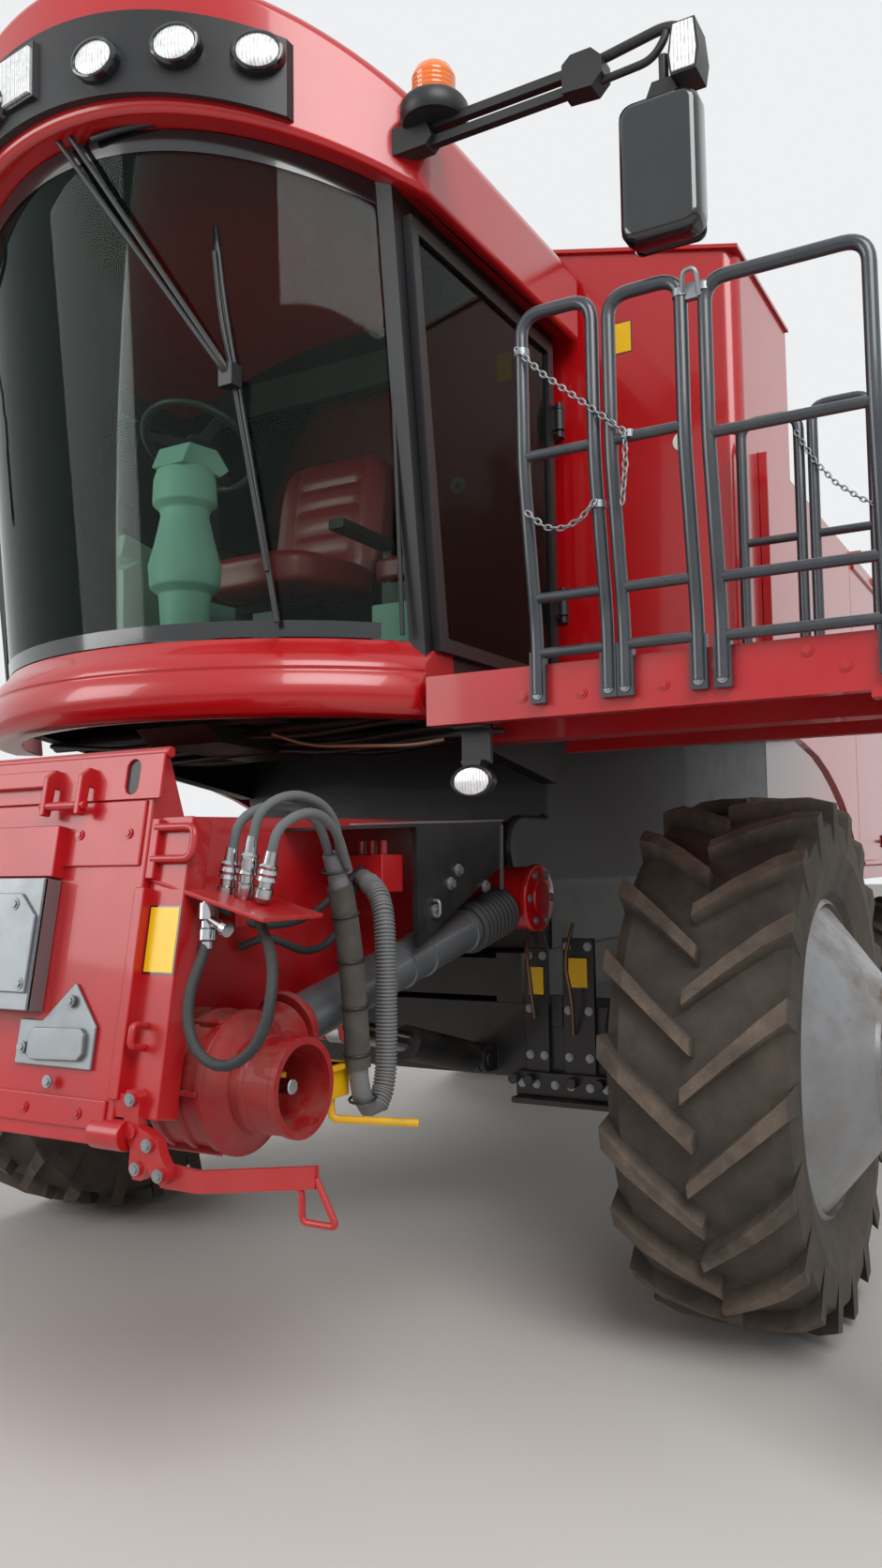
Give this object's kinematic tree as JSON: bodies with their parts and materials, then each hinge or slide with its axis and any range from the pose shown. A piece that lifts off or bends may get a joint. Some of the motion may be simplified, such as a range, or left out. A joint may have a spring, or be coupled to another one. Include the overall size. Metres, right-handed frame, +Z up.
{
  "type": "combine harvester",
  "caption": "Self-propelled grain harvester on four wheels with curved-screen cab, grain tank, bare feeder and side platform.",
  "frame": {"origin": "on the ground, below the middle of the whole machine, on its centre line", "axes": "+X to the machine's left side, -Y to its front, +Z up"},
  "size_m": [4.43, 7.996, 3.9497],
  "materials": {
    "frame_paint": "satin",
    "red_paint": "gloss",
    "red_cast": "satin",
    "tyre_rubber": "matt",
    "rim_silver": "satin",
    "bright_steel": "ground",
    "black_plastic": "grained",
    "screen_glass": "polished",
    "seat_leather": "grained",
    "console_plastic": "grained",
    "rail_paint": "gloss",
    "galvanised": "galvanised",
    "engine_cast": "rough",
    "lamp_lens": "clear",
    "beacon_amber": "clear",
    "mirror_silver": "polished"
  },
  "bodies": {
    "chassis": {"frame_rails": "frame_paint", "front_axle": "frame_paint", "rear_axle": "frame_paint", "thresher_body": "red_paint", "straw_hood": "red_paint", "chopper": "frame_paint", "wheel_arch_panels": "red_paint", "grain_tank": "red_paint", "engine_block": "engine_cast", "engine_deck": "frame_paint", "unloading_turret": "red_paint", "cab_subframe": "frame_paint", "cab_base": "red_paint", "cab_frame": "black_plastic", "cab_roof": "red_paint", "windscreen": "screen_glass", "cab_windows": "screen_glass", "seats": "seat_leather", "steering_console": "console_plastic", "platform": "red_paint", "front_rails": "rail_paint", "rear_rails": "rail_paint", "mirrors": "frame_paint", "mirror_glass": "mirror_silver", "beacons": "beacon_amber", "lamp_panel": "black_plastic", "roof_lamps": "lamp_lens"},
    "wheel_front_left": {"tyre_front_left": "tyre_rubber", "rim_front_left": "rim_silver"},
    "wheel_front_right": {"tyre_front_right": "tyre_rubber", "rim_front_right": "rim_silver"},
    "knuckle_left": {"knuckle_left": "frame_paint"},
    "knuckle_right": {"knuckle_right": "frame_paint"},
    "tie_rod": {"tie_rod": "frame_paint"},
    "wheel_rear_left": {"tyre_rear_left": "tyre_rubber", "rim_rear_left": "rim_silver"},
    "wheel_rear_right": {"tyre_rear_right": "tyre_rubber", "rim_rear_right": "rim_silver"},
    "feeder": {"feeder_channel": "red_paint", "feeder_plate": "red_paint", "header_drive": "red_cast", "drive_guard": "galvanised", "control_box": "frame_paint", "coupler_bracket": "red_paint", "lock_lever": "red_paint"},
    "lift_barrels": {"lift_barrels": "frame_paint"},
    "lift_rods": {"lift_rods": "bright_steel"},
    "cab_door": {"door_frame": "black_plastic", "door_glass": "screen_glass"},
    "ladder": {"ladder": "frame_paint"},
    "unloading_auger": {"unloading_tube": "red_paint"},
    "tank_cover_left": {"tank_cover_left": "red_paint"},
    "tank_cover_right": {"tank_cover_right": "red_paint"},
    "engine_hood": {"engine_hood": "red_paint"},
    "side_door_left": {"side_door_left": "red_paint"},
    "side_door_right": {"side_door_right": "red_paint"},
    "rear_hatch": {"rear_hatch": "red_paint"},
    "chopper_flap": {"chopper_flap": "frame_paint"}
  },
  "joints": [
    {"name": "wheel_front_left_spin", "type": "hinge", "parent": "chassis", "child": "wheel_front_left", "pos_m": [1.465, -1.883, 0.84], "axis": [1, 0, 0], "continuous": true},
    {"name": "wheel_front_right_spin", "type": "hinge", "parent": "chassis", "child": "wheel_front_right", "pos_m": [-1.465, -1.883, 0.84], "axis": [1, 0, 0], "continuous": true},
    {"name": "steer_left", "type": "hinge", "parent": "chassis", "child": "knuckle_left", "pos_m": [1.06, 1.767, 0.62], "axis": [0, 0, 1], "range_deg": [-35, 35]},
    {"name": "steer_right", "type": "hinge", "parent": "chassis", "child": "knuckle_right", "pos_m": [-1.06, 1.767, 0.62], "axis": [0, 0, 1], "range_deg": [-35, 35]},
    {"name": "tie_rod_slide", "type": "slide", "parent": "chassis", "child": "tie_rod", "axis": [1, 0, 0], "range_m": [-0.105, 0.105]},
    {"name": "wheel_rear_left_spin", "type": "hinge", "parent": "knuckle_left", "child": "wheel_rear_left", "pos_m": [1.42, 1.767, 0.62], "axis": [1, 0, 0], "continuous": true},
    {"name": "wheel_rear_right_spin", "type": "hinge", "parent": "knuckle_right", "child": "wheel_rear_right", "pos_m": [-1.42, 1.767, 0.62], "axis": [1, 0, 0], "continuous": true},
    {"name": "feeder_lift", "type": "hinge", "parent": "chassis", "child": "feeder", "pos_m": [0, -2.073, 1.52], "axis": [-1, 0, 0], "range_deg": [-18, 6]},
    {"name": "lift_barrel_swing", "type": "hinge", "parent": "chassis", "child": "lift_barrels", "pos_m": [0, -2.078, 0.78], "axis": [-1, 0, 0], "range_deg": [-16.64, 6.21]},
    {"name": "lift_rod_slide", "type": "slide", "parent": "lift_barrels", "child": "lift_rods", "axis": [0, -0.9685, 0.2492], "range_m": [-0.2385, 0.0862]},
    {"name": "cab_door_hinge", "type": "hinge", "parent": "chassis", "child": "cab_door", "pos_m": [0.9, -2.145, 2.7], "axis": [0, 0, 1], "range_deg": [0, 90]},
    {"name": "ladder_swing", "type": "hinge", "parent": "chassis", "child": "ladder", "pos_m": [2.105, -3.073, 1.2], "axis": [0, 0, 1], "range_deg": [0, 85]},
    {"name": "unloading_swing", "type": "hinge", "parent": "chassis", "child": "unloading_auger", "pos_m": [-1.73, -1.483, 3.25], "axis": [0, 0, 1], "range_deg": [0, 100]},
    {"name": "tank_cover_left_hinge", "type": "hinge", "parent": "chassis", "child": "tank_cover_left", "pos_m": [1.064, -0.408, 3.6195], "axis": [0, 1, 0], "range_deg": [0, 95]},
    {"name": "tank_cover_right_hinge", "type": "hinge", "parent": "chassis", "child": "tank_cover_right", "pos_m": [-1.064, -0.408, 3.6195], "axis": [0, -1, 0], "range_deg": [0, 95]},
    {"name": "engine_hood_hinge", "type": "hinge", "parent": "chassis", "child": "engine_hood", "pos_m": [0, 0.662, 3.322], "axis": [1, 0, 0], "range_deg": [0, 45]},
    {"name": "side_door_left_hinge", "type": "hinge", "parent": "chassis", "child": "side_door_left", "pos_m": [1.55, 0.992, 2.872], "axis": [0, -1, 0], "range_deg": [0, 75]},
    {"name": "side_door_right_hinge", "type": "hinge", "parent": "chassis", "child": "side_door_right", "pos_m": [-1.55, 0.992, 2.872], "axis": [0, 1, 0], "range_deg": [0, 75]},
    {"name": "rear_hatch_hinge", "type": "hinge", "parent": "chassis", "child": "rear_hatch", "pos_m": [0, 3.983, 2.112], "axis": [1, 0, 0], "range_deg": [0, 80]},
    {"name": "chopper_flap_hinge", "type": "hinge", "parent": "chassis", "child": "chopper_flap", "pos_m": [0, 3.549, 1.29], "axis": [1, 0, 0], "range_deg": [-20, 10]}
  ],
  "couplings": [
    {"joint": "steer_right", "follows": "steer_left", "ratio": 1},
    {"joint": "tie_rod_slide", "follows": "steer_left", "m_per_rad": -0.165},
    {"joint": "lift_barrel_swing", "follows": "feeder_lift", "ratio": 0.86891},
    {"joint": "lift_rod_slide", "follows": "feeder_lift", "m_per_rad": 0.72728}
  ]
}
